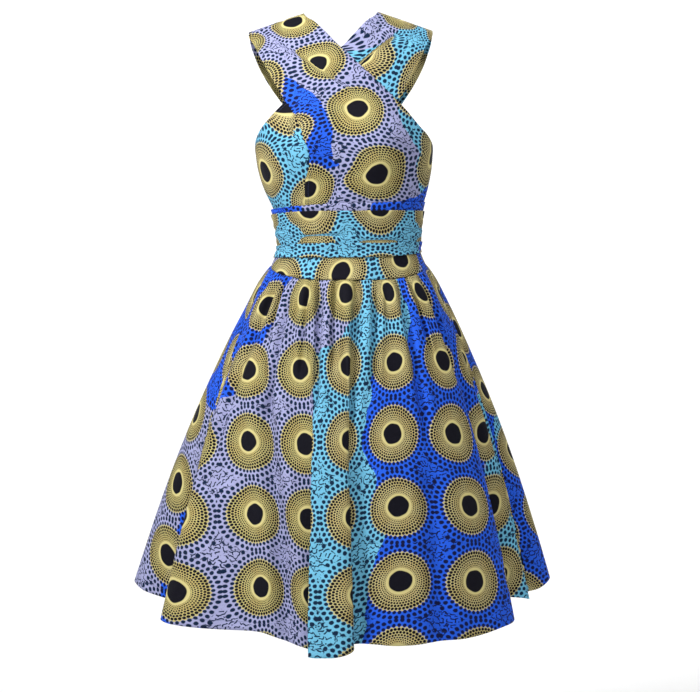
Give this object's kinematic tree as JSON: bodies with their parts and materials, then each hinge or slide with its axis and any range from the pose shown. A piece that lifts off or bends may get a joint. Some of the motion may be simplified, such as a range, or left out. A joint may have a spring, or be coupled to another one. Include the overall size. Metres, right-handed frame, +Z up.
{
  "type": "sleeveless wax print dress",
  "caption": "Sleeveless knee-length dress in African wax print, with crossed straps, wrapped midriff and full gathered skirt.",
  "frame": {"origin": "midway between the two shoulders, where the wearer holds the dress up", "axes": "+Z up, the dress faces -Y, +X to the wearer's left"},
  "size_m": [0.7151, 0.5604, 1.0359],
  "materials": {
    "lilac_wax_print": "matt",
    "turquoise_wax_print": "matt",
    "blue_wax_print": "matt"
  },
  "bodies": {
    "root": {"strap_over_front": "lilac_wax_print", "strap_over_back": "lilac_wax_print", "strap_under_front": "turquoise_wax_print", "strap_under_back": "turquoise_wax_print", "underbust_fold": "blue_wax_print", "midriff_wrap": "turquoise_wax_print", "lower_wrap": "turquoise_wax_print", "waistband": "turquoise_wax_print", "skirt_front": "blue_wax_print", "skirt_back": "lilac_wax_print"}
  },
  "joints": []
}
